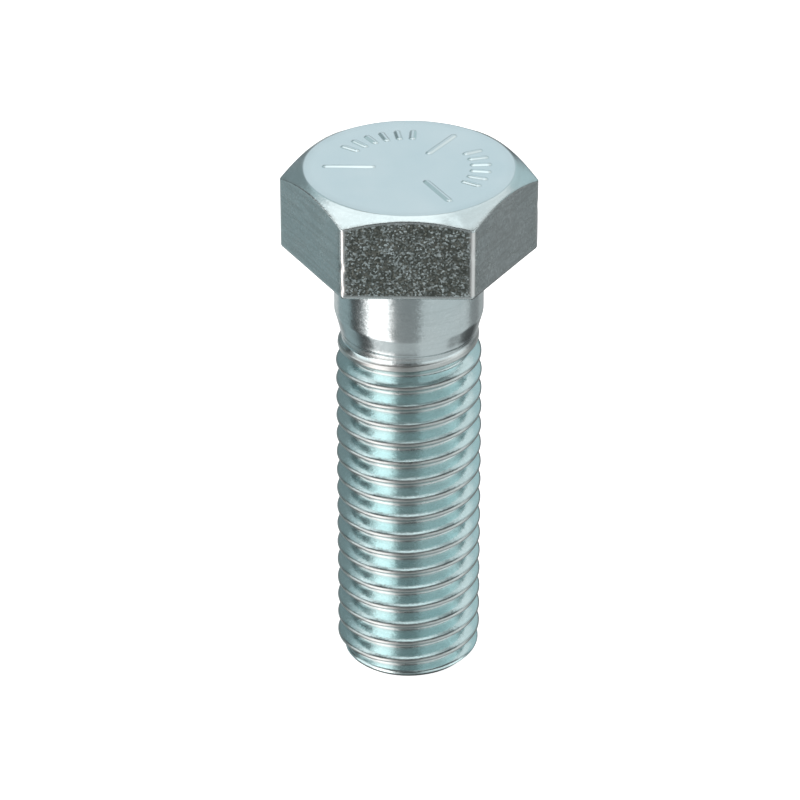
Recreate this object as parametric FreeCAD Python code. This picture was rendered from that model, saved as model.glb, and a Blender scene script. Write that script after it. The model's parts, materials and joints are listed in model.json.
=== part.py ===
import FreeCAD, Part
import math
import os

# Hex bolt: a cold-forged head on a shank with a rolled right-hand thread, one solid piece of steel.
# Frame: origin at the centre of the bearing face under the head, +Z up through the head,
# the shank along -Z, two hexagon corners on the X axis and two flats facing along Y. Millimetres.

# ---- Driving dimensions: 5/8-11 UNC, 2 inches long under the head ----
INCH = 25.4
THREADS_PER_INCH = 11
PITCH = INCH / THREADS_PER_INCH
LENGTH = 50.4
ACROSS_FLATS = 15 / 16 * INCH
HEAD_HEIGHT = 9.6
BODY_DIAMETER = 16.1
THREAD_DIAMETER = 15.85

# ---- Head ----
TOP_FLAT_DIAMETER = 22.4
CHAMFER_ANGLE = 30.0
CORNER_RADIUS = 0.45
LOWER_EDGE_RADIUS = 0.4
UNDERHEAD_FILLET = 0.9

# ---- Raised marks on the head's top face ----
MARK_HEIGHT = 0.22
MARK_ROOT = 0.5
LINE_WIDTH = 0.8
LINE_INNER = 3.4
LINE_OUTER = 9.3
LINE_ANGLES = (180.0, 58.0, -61.0)
RIB_WIDTH = 0.8
RIB_INNER = 6.3
RIB_OUTER = 8.9
RIB_GROUPS = ((152.0, 82.0), (34.0, -36.0))
RIBS_PER_GROUP = 6

# ---- Shank between the head and the thread ----
BODY_END = -7.1
NECK_START = -9.2
NECK_DIAMETER = 15.0
NECK_END = -9.5
CREST_FULL = -12.8
ROOT_FULL = -12.2

# ---- Thread form: 60 degree flanks, flat crest, rounded root ----
FLANK_HALF_ANGLE = 30.0
THREAD_DEPTH = 1.40
CREST_FLAT = 0.36
TIP_DIAMETER = 13.3
GROOVE_AT_X_AXIS = -8.95
GROOVE_CLEARANCE = 0.2
TURNS_BELOW_FIRST = 19
GROOVE_TOP = -8.0
CYLINDER_TAPER = 0.0

BODY_R = BODY_DIAMETER / 2
NECK_R = NECK_DIAMETER / 2
THREAD_R = THREAD_DIAMETER / 2
TIP_R = TIP_DIAMETER / 2
ROOT_R = THREAD_R - THREAD_DEPTH


def radians(degrees):
    return math.radians(degrees)


def point(r, z):
    """A point of a profile in the XZ plane."""
    return FreeCAD.Vector(r, 0, z)


def polar(r, angle):
    """A point of a plan view, by its radius and its angle in degrees from +X."""
    return FreeCAD.Vector(r * math.cos(radians(angle)), r * math.sin(radians(angle)), 0)


def line(a, b):
    return Part.makeLine(a, b)


def arc(a, b, c):
    return Part.Arc(a, b, c).toShape()


def revolve(edges):
    """Turn a closed profile in the XZ plane once round the Z axis."""
    face = Part.Face(Part.Wire(edges))
    return face.revolve(FreeCAD.Vector(0, 0, 0), FreeCAD.Vector(0, 0, 1), 360)


def polygon_edges(points):
    return [line(a, b) for a, b in zip(points, points[1:] + points[:1])]


def hexagon_prism():
    """The head's six flats, with the upright edges and the lower edges rounded."""
    corner_r = ACROSS_FLATS / 2 / math.cos(radians(30))
    corners = [polar(corner_r, 60 * i) for i in range(6)]
    face = Part.Face(Part.Wire(polygon_edges(corners)))
    prism = face.extrude(FreeCAD.Vector(0, 0, HEAD_HEIGHT))
    upright = [e for e in prism.Edges if e.BoundBox.ZLength > HEAD_HEIGHT / 2]
    prism = prism.makeFillet(CORNER_RADIUS, upright)
    lower = [e for e in prism.Edges if e.BoundBox.ZMax < LOWER_EDGE_RADIUS / 2]
    return prism.makeFillet(LOWER_EDGE_RADIUS, lower)


def chamfer_envelope():
    """A cylinder whose top is a flat disc with a 30 degree cone round it."""
    flat_r = TOP_FLAT_DIAMETER / 2
    outer_r = ACROSS_FLATS
    drop = (outer_r - flat_r) * math.tan(radians(CHAMFER_ANGLE))
    profile = [
        point(0, -1),
        point(outer_r, -1),
        point(outer_r, HEAD_HEIGHT - drop),
        point(flat_r, HEAD_HEIGHT),
        point(0, HEAD_HEIGHT),
    ]
    return revolve(polygon_edges(profile))


def raise_mark(edges):
    """A flat-topped mark standing out of the top face, rooted inside the head."""
    mark = Part.Face(Part.Wire(edges)).extrude(FreeCAD.Vector(0, 0, MARK_HEIGHT + MARK_ROOT))
    mark.translate(FreeCAD.Vector(0, 0, HEAD_HEIGHT - MARK_ROOT))
    return mark


def radial_bar(angle, inner_r, outer_r, width):
    """A straight bar with round ends that points at the head's centre."""
    half = width / 2
    inner = polar(inner_r + half, angle)
    outer = polar(outer_r - half, angle)
    side = polar(half, angle + 90)
    edges = [
        line(inner - side, outer - side),
        arc(outer - side, polar(outer_r, angle), outer + side),
        line(outer + side, inner + side),
        arc(inner + side, polar(inner_r, angle), inner - side),
    ]
    return raise_mark(edges)


def head_marks():
    """The three radial lines of the strength grade, and two groups of short plain ribs."""
    marks = [radial_bar(angle, LINE_INNER, LINE_OUTER, LINE_WIDTH) for angle in LINE_ANGLES]
    for first, last in RIB_GROUPS:
        step = (last - first) / RIBS_PER_GROUP
        angles = [first + (i + 0.5) * step for i in range(RIBS_PER_GROUP)]
        marks += [radial_bar(angle, RIB_INNER, RIB_OUTER, RIB_WIDTH) for angle in angles]
    return marks


def head():
    blank = hexagon_prism().common(chamfer_envelope())
    return blank.fuse(head_marks())


def shank_blank():
    """Body, tapered shoulder, neck and thread cylinder with its chamfered tip, before threading."""
    top = HEAD_HEIGHT / 2
    profile = [
        point(BODY_R, BODY_END),
        point(NECK_R, NECK_START),
        point(NECK_R, NECK_END),
        point(THREAD_R, CREST_FULL),
        point(THREAD_R, -LENGTH + THREAD_R - TIP_R),
        point(TIP_R, -LENGTH),
        point(0, -LENGTH),
        point(0, top),
        point(BODY_R, top),
    ]
    return revolve(polygon_edges(profile))


def run_out():
    """The stretch where the groove stays shallow: its cone meets the root below and the neck above."""
    slope = (NECK_R - ROOT_R) / (NECK_END - ROOT_FULL)
    over = 0.3
    wide = BODY_R + 1
    profile = [
        point(0, ROOT_FULL - over),
        point(ROOT_R - slope * over, ROOT_FULL - over),
        point(NECK_R + slope * over, NECK_END + over),
        point(wide, NECK_END + over),
        point(wide, 0),
        point(0, 0),
    ]
    return revolve(polygon_edges(profile))


def thread_groove():
    """The helical space between the thread's ridges, as a solid to take away from the blank."""
    slope = math.tan(radians(FLANK_HALF_ANGLE))
    sharp_r = THREAD_R - (PITCH - CREST_FLAT) / 2 / slope
    root_arc_r = ROOT_R - sharp_r
    outer_r = THREAD_R + GROOVE_CLEARANCE
    outer_half = (outer_r - sharp_r) * slope
    tangent_half = root_arc_r * math.cos(radians(FLANK_HALF_ANGLE))
    tangent_r = sharp_r + tangent_half / slope
    start_z = GROOVE_AT_X_AXIS - TURNS_BELOW_FIRST * PITCH
    low_tangent = point(tangent_r, start_z - tangent_half)
    high_tangent = point(tangent_r, start_z + tangent_half)
    edges = [
        line(point(outer_r, start_z - outer_half), low_tangent),
        arc(low_tangent, point(ROOT_R, start_z), high_tangent),
        line(high_tangent, point(outer_r, start_z + outer_half)),
        line(point(outer_r, start_z + outer_half), point(outer_r, start_z - outer_half)),
    ]
    path = Part.makeLongHelix(PITCH, GROOVE_TOP - start_z, THREAD_R, CYLINDER_TAPER)
    path.translate(FreeCAD.Vector(0, 0, start_z))
    return Part.Wire(path.Edges).makePipeShell([Part.Wire(edges)], True, True)


def hex_bolt():
    plain = head().fuse(shank_blank()).removeSplitter()
    root_edges = [e for e in plain.Edges if is_circle(e, BODY_R, 0)]
    plain = plain.makeFillet(UNDERHEAD_FILLET, root_edges)
    groove = thread_groove().cut(run_out())
    return plain.cut(groove)


def is_circle(edge, r, z):
    curve = edge.Curve
    return (
        isinstance(curve, Part.Circle)
        and abs(curve.Radius - r) < 0.001
        and abs(curve.Center.z - z) < 0.001
    )


os.makedirs("parts", exist_ok=True)
bolt = hex_bolt()
if bolt.ShapeType != "Solid":
    bolt = bolt.Solids[0]
bolt.exportStep("parts/hex_bolt.step")
print("hex_bolt: valid", bolt.isValid(), "closed", bolt.isClosed(), "volume", round(bolt.Volume, 1))
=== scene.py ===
import json
import math

import bpy
import numpy as np
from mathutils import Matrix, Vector, noise


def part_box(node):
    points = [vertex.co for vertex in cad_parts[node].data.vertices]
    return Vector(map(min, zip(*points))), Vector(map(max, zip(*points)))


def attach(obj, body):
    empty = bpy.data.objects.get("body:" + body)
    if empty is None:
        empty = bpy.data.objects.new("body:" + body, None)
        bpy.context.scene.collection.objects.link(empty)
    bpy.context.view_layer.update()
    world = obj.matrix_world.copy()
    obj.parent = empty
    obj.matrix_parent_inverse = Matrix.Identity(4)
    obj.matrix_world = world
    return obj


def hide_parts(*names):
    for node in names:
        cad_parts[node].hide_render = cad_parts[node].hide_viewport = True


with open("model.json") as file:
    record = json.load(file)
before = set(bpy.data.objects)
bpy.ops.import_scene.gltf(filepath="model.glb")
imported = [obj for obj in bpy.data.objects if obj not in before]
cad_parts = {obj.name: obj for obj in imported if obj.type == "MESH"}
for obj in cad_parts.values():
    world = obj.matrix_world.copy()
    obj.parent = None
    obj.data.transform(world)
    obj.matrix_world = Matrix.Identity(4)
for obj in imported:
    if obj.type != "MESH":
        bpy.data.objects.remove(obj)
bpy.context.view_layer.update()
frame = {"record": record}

# Millimetres are the working unit below; every mesh is built at metre scale by this factor.
MM = 0.001

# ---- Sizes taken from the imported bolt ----
NODE = "hex_bolt"
MOUNTS = {m["name"]: m for m in frame["record"]["mounts"]}
LOW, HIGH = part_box(NODE)
CAD_MARK_HEIGHT = 0.22
HEAD_TOP = HIGH.z / MM - CAD_MARK_HEIGHT
TIP_Z = LOW.z / MM
APOTHEM = HIGH.y / MM
BODY_R = MOUNTS["shank_body"]["dims"]["r_mm"]
THREAD_R = MOUNTS["thread"]["dims"]["r_mm"]

# ---- Head ----
TOP_FLAT_R = 11.2
CHAMFER = math.radians(30)
CORNER_R = 0.45
TOP_EDGE_R = 0.7
RIM_EDGE_R = 0.22
LOWER_EDGE_R = 0.42
FILLET_R = 0.9

# ---- Marks on the top face: three grade lines and two groups of plain ribs ----
MARK_HEIGHT = 0.18
MARK_HALF_WIDTH = 0.5
LINE_REACH = (3.4, 9.3)
LINE_ANGLES = (180.0, 58.0, -61.0)
RIB_REACH = (6.3, 8.9)
RIB_GROUPS = ((152.0, 82.0), (34.0, -36.0))
RIBS_PER_GROUP = 6

# ---- Shank and thread ----
PITCH = 25.4 / 11
BODY_END = -7.1
NECK_START = -9.2
NECK_R = 7.5
NECK_END = -9.5
CREST_FULL = -12.8
ROOT_R = THREAD_R - 1.40
ROOT_FULL = -12.2
CREST_FLAT = 0.36
FLANK_SLOPE = math.tan(math.radians(30))
GROOVE_AT_X_AXIS = -8.95
TIP_R = 6.65
THREAD_TOP = -9.25
THREAD_BOTTOM = TIP_Z + 0.36
THREAD_COLUMNS = 144

# ---- How softly two surfaces of the shank meet ----
CREST_ROUNDING = 0.36
FILL_ROUNDING = 0.12
TIP_ROUNDING = 0.25
BODY_END_ROUNDING = 0.05
NECK_ROUNDING = 0.15
RAMP_START_ROUNDING = 0.04
RAMP_END_ROUNDING = 0.06

# ---- The closed seam that rolling leaves along the crest ----
SEAM_DEPTH = 0.015
SEAM_HALF_WIDTH = 0.06

# ---- Hollow end face ----
HOLLOW = 0.12
TIP_EDGE_INSET = 0.2

# ---- Speckle of the forged skin, from 0 for smooth to 1; on the front flat it is also painted shade ----
TOP_GRAIN = 0.05
CHAMFER_GRAIN = 0.08
RIM_GRAIN = 0.2
SIDE_GRAIN = 0.3
# The front flat's extra speckle darkens it as painted shade, standing in for the dark surroundings it
# reflects.
FRONT_GRAIN_AND_PAINTED_SHADE = 1.0
LOWER_EDGE_GRAIN = 0.1
BEARING_GRAIN = 0.5
FILLET_GRAIN = 0.15
BODY_GRAIN = 0.1
SHOULDER_GRAIN = 0.06
NECK_GRAIN = 0.2
THREAD_GRAIN = 0.1
TIP_EDGE_GRAIN = 0.3
TIP_GRAIN = 0.8

# ---- Rubbing, from 0 for full plating to 1; on the head's edges it is also a painted highlight, and on the thread's roots it is painted shade ----
# Rubbing on the head's rim, corners and lower edge turns them near-white, which is partly a painted
# highlight.
RIM_WEAR_AND_PAINTED_HIGHLIGHT = 0.2
LOWER_EDGE_WEAR_AND_PAINTED_HIGHLIGHT = 0.3
CREST_WEAR = 0.8
# The thread's roots are not rubbed: their grey is painted shade in the bottom of the groove.
ROOT_PAINTED_SHADE = 0.6

# Small knocks on the head: a point on the surface, the knock's radius and its depth.
KNOCKS = (
    ((-6.8, -11.8, 3.7), 0.45, 0.16),
    ((-6.9, -11.9, 1.2), 0.35, 0.08),
    ((6.9, -11.9, 5.2), 0.40, 0.07),
    ((4.6, -11.6, 9.1), 0.60, 0.09),
    ((-2.2, -11.6, 9.2), 0.50, 0.06),
    ((11.6, -3.6, 8.6), 0.55, 0.08),
    ((13.6, 0.0, 5.3), 0.50, 0.05),
)
KNOCK_REACH = 2.5
WAVE_HEIGHT = 0.014
WAVE_LENGTH = 2.6


# ---------------------------------------------------------------- mesh helpers

class Surface:
    """Collects points, faces and per-point values of one closed surface, in millimetres."""

    def __init__(self):
        self.points = []
        self.faces = []
        self.grain_and_painted_shade = []
        self.wear_and_painted_light = []

    def add(self, x, y, z, grain_and_painted_shade=0.0, wear_and_painted_light=0.0):
        """Adds one ring or row of points and returns their numbers."""
        x, y, z, grain_and_painted_shade, wear_and_painted_light = np.broadcast_arrays(x, y, z, grain_and_painted_shade, wear_and_painted_light)
        first = sum(len(p) for p in self.points)
        self.points.append(np.stack([x, y, z], axis=-1).reshape(-1, 3))
        self.grain_and_painted_shade.append(np.asarray(grain_and_painted_shade, float).reshape(-1))
        self.wear_and_painted_light.append(np.asarray(wear_and_painted_light, float).reshape(-1))
        return np.arange(first, first + x.size)

    def ring(self, angles, r, z, grain_and_painted_shade=0.0, wear_and_painted_light=0.0):
        return self.add(r * np.cos(angles), r * np.sin(angles), z, grain_and_painted_shade, wear_and_painted_light)

    def band(self, upper, lower):
        """Quads between two rings of equal count, the upper ring first."""
        for i in range(len(upper)):
            j = (i + 1) % len(upper)
            self.faces.append((upper[i], lower[i], lower[j], upper[j]))

    def stitch(self, upper, upper_angles, lower, lower_angles):
        """Triangles between two rings whose points stand at different angles."""
        i = j = 0
        upper_angles = np.append(upper_angles, upper_angles[0] + 2 * math.pi)
        lower_angles = np.append(lower_angles, lower_angles[0] + 2 * math.pi)
        while i < len(upper) or j < len(lower):
            a, b = upper[i % len(upper)], lower[j % len(lower)]
            if j == len(lower) or (i < len(upper) and upper_angles[i + 1] <= lower_angles[j + 1]):
                i += 1
                self.faces.append((a, b, upper[i % len(upper)]))
            else:
                j += 1
                self.faces.append((a, b, lower[j % len(lower)]))

    def fan(self, centre, ring, up):
        for i in range(len(ring)):
            j = (i + 1) % len(ring)
            self.faces.append((centre, ring[i], ring[j]) if up else (centre, ring[j], ring[i]))

    def to_object(self, name):
        mesh = bpy.data.meshes.new(name)
        mesh.from_pydata(np.concatenate(self.points) * MM, [], self.faces)
        for label, values in (("grain_and_painted_shade", self.grain_and_painted_shade), ("wear_and_painted_light", self.wear_and_painted_light)):
            layer = mesh.attributes.new(label, "FLOAT", "POINT")
            layer.data.foreach_set("value", np.concatenate(values).astype(np.float32))
        mesh.shade_smooth()
        mesh.update()
        piece = bpy.data.objects.new(name, mesh)
        bpy.context.scene.collection.objects.link(piece)
        return piece


def smooth_step(low, high, x):
    t = np.clip((x - low) / (high - low), 0, 1)
    return t * t * (3 - 2 * t)


def soft_min(a, b, k):
    h = np.clip(0.5 + 0.5 * (b - a) / k, 0, 1)
    return b + (a - b) * h - k * h * (1 - h)


def soft_max(a, b, k):
    return -soft_min(-a, -b, k)


# ---------------------------------------------------------------- the bolt's form

def even_angles(count):
    return 2 * math.pi * np.arange(count) / count


def corner_angles():
    """Angles of the head's columns: close together round each hexagon corner, even between."""
    half = [0, 0.32, 0.63, 0.947, 1.6, 3.0] + list(np.linspace(5, 30, 10))
    sector = half + [60 - a for a in reversed(half[1:-1])]
    return np.radians([60 * k + a for k in range(6) for a in sector])


def hexagon_radius(angles):
    """Plan radius of the head with its rounded corners."""
    off_corner = np.abs((angles + math.pi / 6) % (math.pi / 3) - math.pi / 6)
    centre = (APOTHEM - CORNER_R) / math.cos(math.pi / 6)
    end = math.atan2(CORNER_R * 0.5, centre + CORNER_R * math.cos(math.pi / 6))
    under = np.maximum(CORNER_R ** 2 - (centre * np.sin(off_corner)) ** 2, 0)
    rounded = centre * np.cos(off_corner) + np.sqrt(under)
    flat = APOTHEM / np.cos(math.pi / 6 - off_corner)
    return np.where(off_corner < end, rounded, flat)


def bar_height(x, y, angle, reach):
    """Height above the top face of a low, rounded ridge."""
    c, s = math.cos(math.radians(angle)), math.sin(math.radians(angle))
    along = np.clip(x * c + y * s, reach[0] + MARK_HALF_WIDTH, reach[1] - MARK_HALF_WIDTH)
    away = np.hypot(x - along * c, y - along * s)
    return MARK_HEIGHT * smooth_step(MARK_HALF_WIDTH, 0.0, away)


def mark_height(x, y):
    """Height above the top face of the three grade lines and the two groups of plain ribs."""
    height = np.zeros(x.shape)
    for angle in LINE_ANGLES:
        height = np.maximum(height, bar_height(x, y, angle, LINE_REACH))
    for first, last in RIB_GROUPS:
        step = (last - first) / RIBS_PER_GROUP
        for i in range(RIBS_PER_GROUP):
            angle = first + (i + 0.5) * step
            height = np.maximum(height, bar_height(x, y, angle, RIB_REACH))
    return height


def thread_phase(angles, z):
    """Distance along the axis from the nearest groove's middle."""
    groove = GROOVE_AT_X_AXIS + PITCH * angles / (2 * math.pi)
    return np.abs((z - groove + PITCH / 2) % PITCH - PITCH / 2)


def ramp_radius(z):
    """The neck and the ramp from it to the thread's full diameter."""
    ramp = NECK_R + (z - NECK_END) * (THREAD_R - NECK_R) / (CREST_FULL - NECK_END)
    return soft_min(soft_max(ramp, NECK_R, RAMP_START_ROUNDING), THREAD_R, RAMP_END_ROUNDING)


def groove_form(across):
    """Radius of the endless thread's flank or rounded root, by the distance from the groove's middle."""
    sharp_r = THREAD_R - (PITCH - CREST_FLAT) / 2 / FLANK_SLOPE
    root_r = ROOT_R - sharp_r
    flank = sharp_r + across / FLANK_SLOPE
    root = ROOT_R + root_r - np.sqrt(np.maximum(root_r ** 2 - across ** 2, 0))
    return np.where(across < root_r * math.cos(math.pi / 6), root, flank)


def thread_radius(angles, z):
    """Radius of the neck, the thread's run-out, the thread and its chamfered tip."""
    across = thread_phase(angles, z)
    chamfer = TIP_R + (z - TIP_Z)
    outside = soft_min(ramp_radius(z), chamfer, TIP_ROUNDING)
    filled = NECK_R + (z - NECK_END) * (NECK_R - ROOT_R) / (NECK_END - ROOT_FULL)
    inside = soft_max(groove_form(across), filled, FILL_ROUNDING)
    seam = SEAM_DEPTH * np.exp(-((PITCH / 2 - across) / SEAM_HALF_WIDTH) ** 2)
    seam *= smooth_step(CREST_FULL, ROOT_FULL, z)
    return soft_min(inside, outside, CREST_ROUNDING) - seam


def shoulder_radius(z):
    """The body's end, the taper below it and the neck."""
    taper = BODY_R + (z - BODY_END) * (BODY_R - NECK_R) / (BODY_END - NECK_START)
    return soft_max(soft_min(BODY_R, taper, BODY_END_ROUNDING), NECK_R, NECK_ROUNDING)


def top_edge_rows(angles):
    """The soft edge between the top flat and the chamfer."""
    start_r = TOP_FLAT_R - TOP_EDGE_R * math.tan(CHAMFER / 2)
    for a in np.linspace(0, CHAMFER, 5):
        r = start_r + TOP_EDGE_R * math.sin(a)
        z = HEAD_TOP - TOP_EDGE_R * (1 - math.cos(a))
        yield np.full_like(angles, r), z, TOP_GRAIN, 0.0


def rim_centre(side_r):
    """Height of the centre that the rounding between the chamfer and the sides turns about."""
    rim_z = HEAD_TOP - (side_r - TOP_FLAT_R) * math.tan(CHAMFER)
    return rim_z - RIM_EDGE_R * math.tan(math.pi / 6)


def chamfer_rows(side_r):
    """The conical chamfer and the rounding at its foot."""
    rim_r = side_r - RIM_EDGE_R
    start_r = TOP_FLAT_R + TOP_EDGE_R * math.tan(CHAMFER / 2) * math.cos(CHAMFER)
    end_r = rim_r + RIM_EDGE_R * math.sin(CHAMFER)
    for t in (0.2, 0.4, 0.6, 0.8):
        r = start_r + (end_r - start_r) * t
        yield r, HEAD_TOP - (r - TOP_FLAT_R) * math.tan(CHAMFER), CHAMFER_GRAIN, 0.0
    # The rounding at the chamfer's foot is marked rubbed, which also paints a highlight on it.
    for a in np.linspace(CHAMFER, math.pi / 2, 5):
        r = rim_r + RIM_EDGE_R * math.sin(a)
        yield r, rim_centre(side_r) + RIM_EDGE_R * math.cos(a), RIM_GRAIN, RIM_WEAR_AND_PAINTED_HIGHLIGHT


def side_rows(angles, side_r):
    """The six flats, worn and painted bright at the corners as a highlight, and most speckled on the
    front one, whose dark speckle is painted shade.
    """
    off_corner = np.degrees(np.abs((angles + math.pi / 6) % (math.pi / 3) - math.pi / 6))
    off_front = np.degrees(np.abs(angles - 1.5 * math.pi))
    # The rounded corners are marked rubbed; their bright colour is partly a painted highlight.
    corner_wear_and_highlight = smooth_step(1.8, 0.9, off_corner)
    # Mask of the front flat, whose strongest grain paints dark shade on it.
    front_painted_shade = smooth_step(34, 29, off_front)
    grain_and_painted_shade = (SIDE_GRAIN + (FRONT_GRAIN_AND_PAINTED_SHADE - SIDE_GRAIN) * front_painted_shade) * (1 - corner_wear_and_highlight)
    top = rim_centre(side_r)
    for t in np.linspace(0.02, 0.98, 26):
        yield side_r, top + (LOWER_EDGE_R - top) * t, grain_and_painted_shade, corner_wear_and_highlight


def bearing_rows(side_r):
    """The rounded lower edge and the flat bearing face."""
    edge_r = side_r - LOWER_EDGE_R
    # The rounded lower edge is marked rubbed, which also paints a highlight on it.
    for a in np.linspace(math.pi / 2, math.pi, 6):
        z = LOWER_EDGE_R + LOWER_EDGE_R * math.cos(a)
        yield edge_r + LOWER_EDGE_R * math.sin(a), z, LOWER_EDGE_GRAIN, LOWER_EDGE_WEAR_AND_PAINTED_HIGHLIGHT
    for t in (0.15, 0.4, 0.65, 0.9):
        yield edge_r + (BODY_R + FILLET_R - edge_r) * t, 0.0, BEARING_GRAIN, 0.0


def body_rows(angles):
    """The fillet under the head, the plain body and the tapered shoulder down to the neck."""
    for a in np.linspace(math.pi / 2, math.pi, 8):
        r = BODY_R + FILLET_R + FILLET_R * math.cos(a)
        yield np.full_like(angles, r), -FILLET_R * (1 - math.sin(a)), FILLET_GRAIN, 0.0
    for z in np.linspace(-FILLET_R, BODY_END + 0.3, 9)[1:]:
        yield np.full_like(angles, BODY_R), z, BODY_GRAIN, 0.0
    for z in np.linspace(BODY_END + 0.2, NECK_START, 19):
        yield np.full_like(angles, shoulder_radius(z)), z, SHOULDER_GRAIN, 0.0


def head_rows(angles):
    """Rows from the top flat's edge down to the neck: radius, height, grain with its painted shade, and
    wear with its painted highlight.
    """
    side_r = hexagon_radius(angles)
    yield from top_edge_rows(angles)
    yield from chamfer_rows(side_r)
    yield from side_rows(angles, side_r)
    yield from bearing_rows(side_r)
    yield from body_rows(angles)


def top_face(surface, angles):
    """The marked top face, from its centre out to the ring beside the flat's edge."""
    fine_angles = even_angles(480)
    centre = surface.add(0.0, 0.0, HEAD_TOP)[0]
    ring = surface.ring(angles, 0.4, HEAD_TOP)
    surface.fan(centre, ring, True)
    for r in (0.9, 1.5, 2.1, 2.7):
        outer = surface.ring(angles, r, HEAD_TOP)
        surface.band(ring, outer)
        ring = outer
    fine = None
    for r in np.linspace(3.0, 9.75, 55):
        x, y = r * np.cos(fine_angles), r * np.sin(fine_angles)
        outer = surface.add(x, y, HEAD_TOP + mark_height(x, y))
        if fine is None:
            surface.stitch(ring, angles, outer, fine_angles)
        else:
            surface.band(fine, outer)
        fine = outer
    ring = surface.ring(angles, 10.2, HEAD_TOP)
    surface.stitch(fine, fine_angles, ring, angles)
    return ring


def thread_rows():
    """Positions along the axis within one pitch, from one groove's middle to the next."""
    edge = (PITCH - CREST_FLAT) / 2
    half = [0, 0.13, 0.25, 0.38, 0.62, 0.84, edge - 0.05, edge + 0.01, edge + 0.08]
    return np.array(half + [PITCH / 2] + [PITCH - a for a in reversed(half[1:])])


def helix_faces(surface, ids):
    """Quads between neighbouring rows, or triangles where a row ends against a level ring."""
    for upper, lower in zip(ids[1:], ids):
        for i in range(len(upper) - 1):
            corners = (upper[i], lower[i], lower[i + 1], upper[i + 1])
            face = [c for s, c in enumerate(corners) if c != corners[s - 1]]
            if len(face) > 2:
                surface.faces.append(face)


def thread(surface, angles, first_ring):
    """Rows that follow the helix between two level rings, so that each crest is a clean edge."""
    rows = thread_rows()
    per_turn = len(rows)
    turns = int((THREAD_TOP - THREAD_BOTTOM) / PITCH) + 3
    start = GROOVE_AT_X_AXIS - (turns - 1) * PITCH
    heights = start + np.concatenate([rows + m * PITCH for m in range(turns + 1)])
    z = heights[:, None] + PITCH * angles[None, :] / (2 * math.pi)
    turned = np.broadcast_to(angles, z.shape)
    snap = 0.02
    above = z > THREAD_TOP - snap
    below = z < THREAD_BOTTOM + snap
    inside = ~above & ~below

    radius = thread_radius(turned, z)
    # Crests turn grey where rubbed; the roots turn the same grey as painted shade in the bottom of the
    # groove.
    crest = CREST_WEAR * smooth_step(0.20, 0.05, ramp_radius(z) - radius)
    root = ROOT_PAINTED_SHADE * smooth_step(0.34, 0.18, thread_phase(turned, z))
    rubbed_and_painted_light = np.maximum(crest, root) * smooth_step(NECK_END + 0.1, NECK_END - 0.3, z)
    numbers = surface.ring(turned[inside], radius[inside], z[inside], THREAD_GRAIN, rubbed_and_painted_light[inside])
    last_r = thread_radius(angles, np.full(len(angles), THREAD_BOTTOM))
    last_ring = surface.ring(angles, last_r, THREAD_BOTTOM, NECK_GRAIN)

    ids = np.zeros(z.shape, int)
    ids[inside] = numbers
    ids = np.where(above, first_ring[None, :], ids)
    ids = np.where(below, last_ring[None, :], ids)
    one_turn_up = np.append(ids[per_turn:, 0], [first_ring[0]] * per_turn)
    helix_faces(surface, np.concatenate([ids, one_turn_up[:, None]], axis=1))
    return last_ring


def tip(surface, angles, ring):
    """The chamfered end, its soft edge and the slightly hollow end face."""
    for above_tip, inset in ((0.24, 0.0), (0.14, 0.01), (0.06, 0.05), (0.015, 0.11)):
        z = TIP_Z + above_tip
        r = thread_radius(angles, np.full(len(angles), z)) - inset
        lower = surface.ring(angles, r, z, TIP_EDGE_GRAIN)
        surface.band(ring, lower)
        ring = lower
    edge_r = thread_radius(angles, np.full(len(angles), TIP_Z)) - TIP_EDGE_INSET
    for share in (1.0, 0.85, 0.65, 0.45, 0.25, 0.1):
        z = TIP_Z + HOLLOW * (1 - share ** 2)
        lower = surface.ring(angles, edge_r * share, z, TIP_GRAIN)
        surface.band(ring, lower)
        ring = lower
    centre = surface.add(0.0, 0.0, TIP_Z + HOLLOW, TIP_GRAIN)[0]
    surface.fan(centre, ring, False)


def wear_down(mesh):
    """Moves each point a little along its normal: gentle unevenness all over, and the knocks."""
    mesh.update()
    normals = [point.normal.copy() for point in mesh.vertices]
    for point, normal in zip(mesh.vertices, normals):
        where = point.co / MM
        push = WAVE_HEIGHT * noise.noise(where / WAVE_LENGTH)
        for centre, radius, depth in KNOCKS:
            gap = (where - Vector(centre)).length / radius
            if gap < KNOCK_REACH:
                push -= depth * math.exp(-gap * gap)
        point.co += normal * (push * MM)


def make_bolt():
    """The whole bolt as one closed mesh, built from the middle of the top face down to the tip."""
    surface = Surface()
    angles = corner_angles()
    shank_angles = even_angles(THREAD_COLUMNS)
    ring = top_face(surface, angles)
    for r, z, grain_and_painted_shade, wear_and_painted_light in head_rows(angles):
        lower = surface.ring(angles, r, z, grain_and_painted_shade, wear_and_painted_light)
        surface.band(ring, lower)
        ring = lower
    neck_ring = surface.ring(shank_angles, NECK_R, THREAD_TOP, NECK_GRAIN)
    surface.stitch(ring, angles, neck_ring, shank_angles)
    last = thread(surface, shank_angles, neck_ring)
    tip(surface, shank_angles, last)
    piece = surface.to_object("bolt_steel")
    wear_down(piece.data)
    return piece


# ---------------------------------------------------------------- material

def node(tree, kind, inputs=None, **settings):
    """Adds a shader node, with its settings and the values or links of its inputs."""
    made = tree.nodes.new(kind)
    for key, value in settings.items():
        setattr(made, key, value)
    for key, value in (inputs or {}).items():
        if isinstance(value, bpy.types.NodeSocket):
            tree.links.new(value, made.inputs[key])
        else:
            made.inputs[key].default_value = value
    return made


def combine(tree, kind, operation, values):
    """Adds a node that works on several values, which are numbers, vectors or other nodes' outputs."""
    made = node(tree, kind, dict(enumerate(values)), operation=operation)
    return made.outputs[0]


def math_node(tree, operation, *values):
    return combine(tree, "ShaderNodeMath", operation, values)


def vector_math(tree, operation, *values):
    return combine(tree, "ShaderNodeVectorMath", operation, values)


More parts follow.
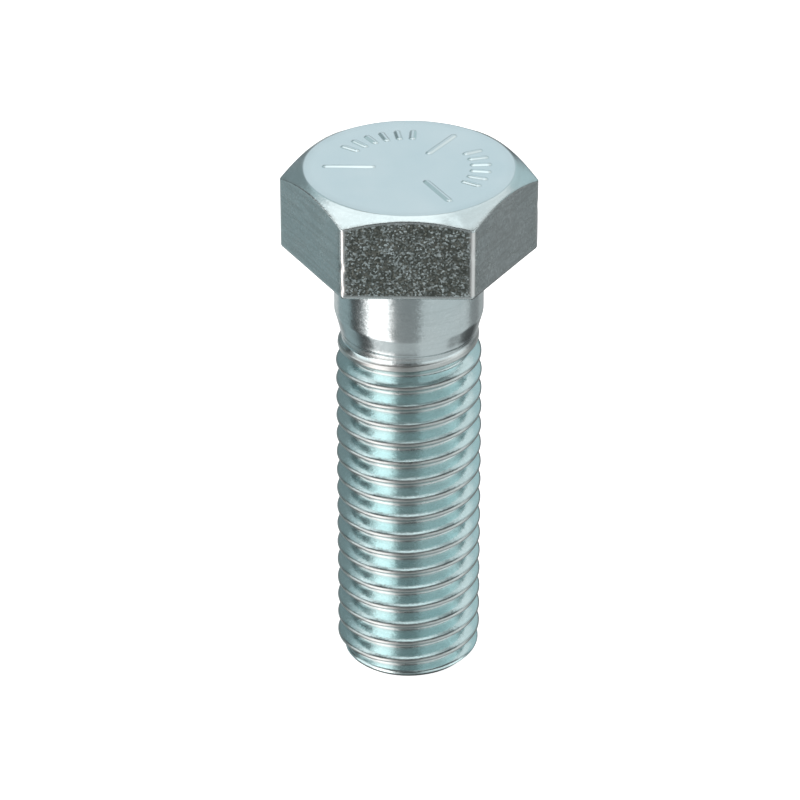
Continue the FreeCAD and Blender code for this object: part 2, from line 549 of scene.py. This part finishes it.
def mix(tree, share, first, second):
    """A colour between the first, at a share of 0, and the second, at 1."""
    inputs = {"Factor": share, "A": first, "B": second}
    return node(tree, "ShaderNodeMix", inputs, data_type="RGBA").outputs["Result"]


def cloud(tree, place, scale, detail):
    """Soft noise from 0 to 1, with the given number of lumps to the metre."""
    inputs = {"Vector": place, "Scale": scale, "Detail": detail}
    return node(tree, "ShaderNodeTexNoise", inputs).outputs["Fac"]


def scaled(tree, vector, amount):
    made = node(tree, "ShaderNodeVectorMath", {"Vector": vector, "Scale": amount}, operation="SCALE")
    return made.outputs[0]


def step_node(tree, value, low, high):
    """Rises smoothly from 0 at low to 1 at high."""
    inputs = {"Value": value, "From Min": low, "From Max": high}
    made = node(tree, "ShaderNodeMapRange", inputs, interpolation_type="SMOOTHSTEP")
    return made.outputs["Result"]


# Reflected colours of the plating on the forged head and on the rolled thread, each of which drifts
# between two tints; the thread's tints are more teal as a painted reflection of light bounced between
# the flanks. Then of rubbed metal on both, whose near-white on the head's edges is partly a painted
# highlight and whose grey on the thread's roots is painted shade, of pits, which on the front flat are
# painted shade, and of smears.
FORGED = ((0.64, 0.79, 0.82, 1), (0.80, 0.90, 0.91, 1))
ROLLED_WITH_PAINTED_REFLECTION = ((0.57, 0.80, 0.82, 1), (0.74, 0.89, 0.90, 1))
RUBBED_THREAD_AND_PAINTED_SHADE = (0.60, 0.64, 0.63, 1)
RUBBED_HEAD_AND_PAINTED_HIGHLIGHT = (0.90, 0.95, 0.94, 1)
PIT_AND_PAINTED_SHADE = (0.085, 0.10, 0.085, 1)
SMEAR = (0.36, 0.41, 0.40, 1)

# Lumps to the metre of each pattern.
DRIFT_SCALE = 170.0
BLOTCH_SCALE = 520.0
STREAK_SCALE = (170.0, 170.0, 2300.0)
CELL_SCALE = 5600.0


def skin_normal(tree, cells, blotch, grain_and_painted_shade):
    """Small flat facets of the forged skin, each leaning its own way, over a faint ripple."""
    lean = vector_math(tree, "SUBTRACT", cells, (0.5, 0.5, 0.5))
    lean = scaled(tree, lean, math_node(tree, "MULTIPLY", grain_and_painted_shade, 0.48))
    surface_normal = node(tree, "ShaderNodeNewGeometry").outputs["Normal"]
    facets = vector_math(tree, "NORMALIZE", vector_math(tree, "ADD", surface_normal, lean))
    bump = {"Strength": 0.6, "Distance": 0.00002, "Height": blotch, "Normal": facets}
    return node(tree, "ShaderNodeBump", bump).outputs["Normal"]


def plating_colour(tree, place, wear_and_painted_light):
    """Plating that drifts in tint, painted more teal on the thread as a reflection, and greyer or
    brighter where rubbed. The near-white on the head's edges is partly a painted highlight, and the grey
    on the thread's roots is painted shade.
    """
    drift = cloud(tree, place, DRIFT_SCALE, 3.0)
    height = node(tree, "ShaderNodeSeparateXYZ", {"Vector": place}).outputs["Z"]
    rubbed_and_painted_light = mix(tree, step_node(tree, height, CREST_FULL * MM, 0.0), RUBBED_THREAD_AND_PAINTED_SHADE, RUBBED_HEAD_AND_PAINTED_HIGHLIGHT)
    above_thread = step_node(tree, height, CREST_FULL * MM, NECK_END * MM)
    # The thread gets the more teal tints, a painted reflection of light bounced between the flanks.
    plating = mix(tree, above_thread, mix(tree, drift, *ROLLED_WITH_PAINTED_REFLECTION), mix(tree, drift, *FORGED))
    return mix(tree, wear_and_painted_light, plating, rubbed_and_painted_light)


def pitted_with_painted_shade(tree, colour, cells, blotch, grain_and_painted_shade):
    """Darkens the facets at random, most where the grain is strongest; on the front flat this darkening
    is painted shade.
    """
    shade = node(tree, "ShaderNodeSeparateColor", {"Color": cells}).outputs["Red"]
    shade = math_node(tree, "MULTIPLY_ADD", blotch, 0.7, shade)
    pits_and_painted_shade = math_node(tree, "MULTIPLY", step_node(tree, shade, 1.66, 0.80), grain_and_painted_shade)
    return mix(tree, math_node(tree, "MULTIPLY", pits_and_painted_shade, 0.95), colour, PIT_AND_PAINTED_SHADE)


def smeared(tree, colour, streak, grain_and_painted_shade):
    """Level streaks on the flats that have a middling grain."""
    middling = math_node(tree, "MULTIPLY", grain_and_painted_shade, step_node(tree, grain_and_painted_shade, 0.7, 0.4))
    smear = math_node(tree, "MULTIPLY", step_node(tree, streak, 0.46, 0.62), middling)
    return mix(tree, math_node(tree, "MULTIPLY", smear, 0.9), colour, SMEAR)


def zinc_material():
    """Blue-bright zinc plating over forged and rolled steel.

    The mesh gives two masks. Grain marks where the forged skin is speckled and where the front flat is
    darkened as painted shade. Wear marks where the skin is rubbed, where the head's edges get a painted
    highlight and where the thread's roots get painted shade.
    """
    mat = bpy.data.materials.new("zinc_plated_steel")
    mat.use_nodes = True
    tree = mat.node_tree
    tree.nodes.clear()
    place = node(tree, "ShaderNodeTexCoord").outputs["Object"]
    grain_and_painted_shade = node(tree, "ShaderNodeAttribute", attribute_name="grain_and_painted_shade").outputs["Fac"]
    wear_and_painted_light = node(tree, "ShaderNodeAttribute", attribute_name="wear_and_painted_light").outputs["Fac"]
    blotch = cloud(tree, place, BLOTCH_SCALE, 4.0)
    level = node(tree, "ShaderNodeMapping", {"Vector": place, "Scale": STREAK_SCALE}).outputs[0]
    streak = cloud(tree, level, 1.0, 3.0)
    cells = node(tree, "ShaderNodeTexVoronoi", {"Vector": place, "Scale": CELL_SCALE}).outputs["Color"]

    colour = plating_colour(tree, place, wear_and_painted_light)
    colour = pitted_with_painted_shade(tree, colour, cells, blotch, grain_and_painted_shade)
    colour = smeared(tree, colour, streak, grain_and_painted_shade)

    rough = math_node(tree, "MULTIPLY_ADD", blotch, 0.14, 0.09)
    rough = math_node(tree, "MULTIPLY_ADD", grain_and_painted_shade, 0.16, rough)
    rough = math_node(tree, "MULTIPLY_ADD", wear_and_painted_light, 0.12, rough)
    rough = math_node(tree, "MULTIPLY_ADD", streak, 0.08, rough)

    normal = skin_normal(tree, cells, blotch, grain_and_painted_shade)
    inputs = {"Base Color": colour, "Roughness": rough, "Normal": normal, "Metallic": 1.0}
    shader = node(tree, "ShaderNodeBsdfPrincipled", inputs)
    out = node(tree, "ShaderNodeOutputMaterial")
    tree.links.new(shader.outputs["BSDF"], out.inputs["Surface"])
    return mat


# ---------------------------------------------------------------- studio

# Soft panels round the bolt, as azimuth, half width, elevation, half height and edge softness in
# degrees, then brightness and colour. Azimuth 0 is straight in front of the bolt and grows to its
# right; elevation is above the horizon. Where panels overlap, the brighter one counts.
NEUTRAL = (1.0, 1.0, 1.0)
PALE_BLUE = (0.86, 1.03, 1.06)
WARM = (1.13, 1.01, 0.99)
SKY = (0.97, 1.05, 1.10)
PANELS = (
    (-48, 21, -8, 44, 13, 1.8, WARM),
    (-50, 26, -56, 16, 12, 0.62, NEUTRAL),
    (-68, 10, -8, 44, 14, 0.45, NEUTRAL),
    (-86, 18, 16, 20, 8, 1.25, NEUTRAL),
    (-118, 26, 60, 16, 12, 1.25, NEUTRAL),
    (-138, 24, 44, 12, 12, 0.60, PALE_BLUE),
    (-124, 24, -26, 22, 14, 0.36, PALE_BLUE),
    (-158, 22, -22, 14, 10, 0.62, NEUTRAL),
    (-150, 26, 20, 24, 14, 0.26, PALE_BLUE),
    (0, 40, -26, 34, 16, 0.27, NEUTRAL),
    (52, 36, -28, 40, 16, 0.62, NEUTRAL),
    (82, 13, -12, 12, 8, 0.85, NEUTRAL),
    (80, 18, 14, 20, 10, 1.15, NEUTRAL),
    (58, 42, 12, 22, 12, 0.90, NEUTRAL),
    (95, 15, -24, 26, 18, 0.60, NEUTRAL),
    (122, 26, -20, 16, 14, 0.27, NEUTRAL),
    (156, 22, -22, 14, 10, 0.44, NEUTRAL),
    (138, 28, 26, 22, 12, 0.60, PALE_BLUE),
    (128, 30, 50, 20, 14, 0.90, NEUTRAL),
    (180, 20, 36, 34, 18, 0.74, SKY),
    (0, 75, -90, 38, 14, 0.46, NEUTRAL),
    (0, 400, 90, 24, 20, 1.30, NEUTRAL),
)
SURROUND = 0.07


def soft_window(tree, value, centre, half, soft):
    """1 within half of the centre, falling to 0 across a soft edge."""
    away = math_node(tree, "ABSOLUTE", math_node(tree, "SUBTRACT", value, centre))
    inputs = {"Value": away, "From Min": half - soft / 2, "From Max": half + soft / 2}
    inputs.update({"To Min": 1.0, "To Max": 0.0})
    fade = node(tree, "ShaderNodeMapRange", inputs, interpolation_type="SMOOTHSTEP")
    return fade.outputs["Result"]


def panel_light(tree, azimuth, elevation, panel):
    """One panel's light by direction."""
    az, az_half, el, el_half, soft, strength, colour = panel
    turned = math_node(tree, "WRAP", math_node(tree, "SUBTRACT", azimuth, float(az)), 180.0, -180.0)
    across = soft_window(tree, turned, 0.0, az_half, soft)
    up = soft_window(tree, elevation, float(el), el_half, soft)
    share = math_node(tree, "MULTIPLY", math_node(tree, "MULTIPLY", across, up), strength)
    return scaled(tree, colour, share)


def studio_world():
    """Light that depends on direction alone, as large soft panels far away give."""
    world = bpy.data.worlds.new("studio")
    bpy.context.scene.world = world
    world.use_nodes = True
    tree = world.node_tree
    tree.nodes.clear()
    direction = node(tree, "ShaderNodeTexCoord").outputs["Generated"]
    parts = node(tree, "ShaderNodeSeparateXYZ", {"Vector": direction}).outputs
    turn = math_node(tree, "ARCTAN2", parts["X"], math_node(tree, "MULTIPLY", parts["Y"], -1.0))
    azimuth = math_node(tree, "DEGREES", turn)
    elevation = math_node(tree, "DEGREES", math_node(tree, "ARCSINE", parts["Z"]))
    total = node(tree, "ShaderNodeCombineXYZ", {"X": SURROUND, "Y": SURROUND, "Z": SURROUND}).outputs[0]
    for panel in PANELS:
        total = vector_math(tree, "MAXIMUM", total, panel_light(tree, azimuth, elevation, panel))
    light = node(tree, "ShaderNodeBackground", {"Color": total})
    out = node(tree, "ShaderNodeOutputWorld")
    tree.links.new(light.outputs["Background"], out.inputs["Surface"])


def pale_material():
    """A plain pale sweep, lit a little from behind as a light table is."""
    mat = bpy.data.materials.new("pale_sweep")
    mat.use_nodes = True
    shader = mat.node_tree.nodes["Principled BSDF"]
    shader.inputs["Base Color"].default_value = (0.9, 0.9, 0.9, 1)
    shader.inputs["Roughness"].default_value = 0.9
    shader.inputs["Emission Color"].default_value = (1, 1, 1, 1)
    shader.inputs["Emission Strength"].default_value = 0.85
    return mat


# The sweep, in metres but for the gap under the tip.
FLOOR_GAP = 0.05
FLAT_R = 1.6
WALL_R = 2.6
SWEEP_STEPS = 96


def sweep_profile():
    """Radius and height of the floor, the bend behind it and the dome."""
    bend = WALL_R - FLAT_R
    quarter = np.linspace(0, math.pi / 2, 12)[1:]
    profile = [(0.05, 0.0), (0.3, 0.0), (FLAT_R, 0.0)]
    profile += [(FLAT_R + bend * math.sin(a), bend * (1 - math.cos(a))) for a in quarter]
    profile += [(WALL_R * math.cos(a), bend + WALL_R * math.sin(a)) for a in quarter[:-1]]
    return profile


def sweep():
    """A round floor under the bolt's tip that curves up into a dome far behind the camera."""
    floor_z = (TIP_Z - FLOOR_GAP) * MM
    profile = sweep_profile()
    points, faces = [], []
    for r, z in profile:
        for k in range(SWEEP_STEPS):
            a = 2 * math.pi * k / SWEEP_STEPS
            points.append((r * math.cos(a), r * math.sin(a), floor_z + z))
    for start in range(0, len(points) - SWEEP_STEPS, SWEEP_STEPS):
        for k in range(SWEEP_STEPS):
            a = start + k
            b = start + (k + 1) % SWEEP_STEPS
            faces.append((a, b, b + SWEEP_STEPS, a + SWEEP_STEPS))
    faces.append(tuple(reversed(range(SWEEP_STEPS))))
    faces.append(tuple(range(len(points) - SWEEP_STEPS, len(points))))
    mesh = bpy.data.meshes.new("sweep")
    mesh.from_pydata(points, [], faces)
    mesh.shade_smooth()
    mesh.materials.append(pale_material())
    made = bpy.data.objects.new("sweep", mesh)
    bpy.context.scene.collection.objects.link(made)
    made.visible_glossy = False
    made.visible_diffuse = False
    made.visible_shadow = False


# The camera's place: degrees round and above the bolt, the point that it looks at in millimetres,
# and its distance from there in metres.
VIEW_AZIMUTH = 0.93
VIEW_ELEVATION = 29.82
VIEW_TARGET = (-0.961, -0.0157, -18.745)
VIEW_DISTANCE = 0.4472
FOCAL_LENGTH = 184.71
SENSOR_WIDTH = 36.0


def camera():
    """The view of the bolt from in front and about 30 degrees above, with a long lens."""
    azimuth = math.radians(VIEW_AZIMUTH)
    elevation = math.radians(VIEW_ELEVATION)
    target = Vector(VIEW_TARGET) * MM
    back = Vector((
        math.sin(azimuth) * math.cos(elevation),
        -math.cos(azimuth) * math.cos(elevation),
        math.sin(elevation),
    ))
    data = bpy.data.cameras.new("camera")
    data.sensor_width = SENSOR_WIDTH
    data.lens = FOCAL_LENGTH
    data.clip_start = 0.01
    made = bpy.data.objects.new("camera", data)
    bpy.context.scene.collection.objects.link(made)
    made.location = target + back * VIEW_DISTANCE
    made.rotation_euler = back.to_track_quat("Z", "Y").to_euler()
    bpy.context.scene.camera = made


bolt = make_bolt()
bolt.data.materials.append(zinc_material())
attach(bolt, "root")
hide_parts(NODE)

studio_world()
sweep()
camera()
bpy.context.scene.view_settings.view_transform = "Standard"
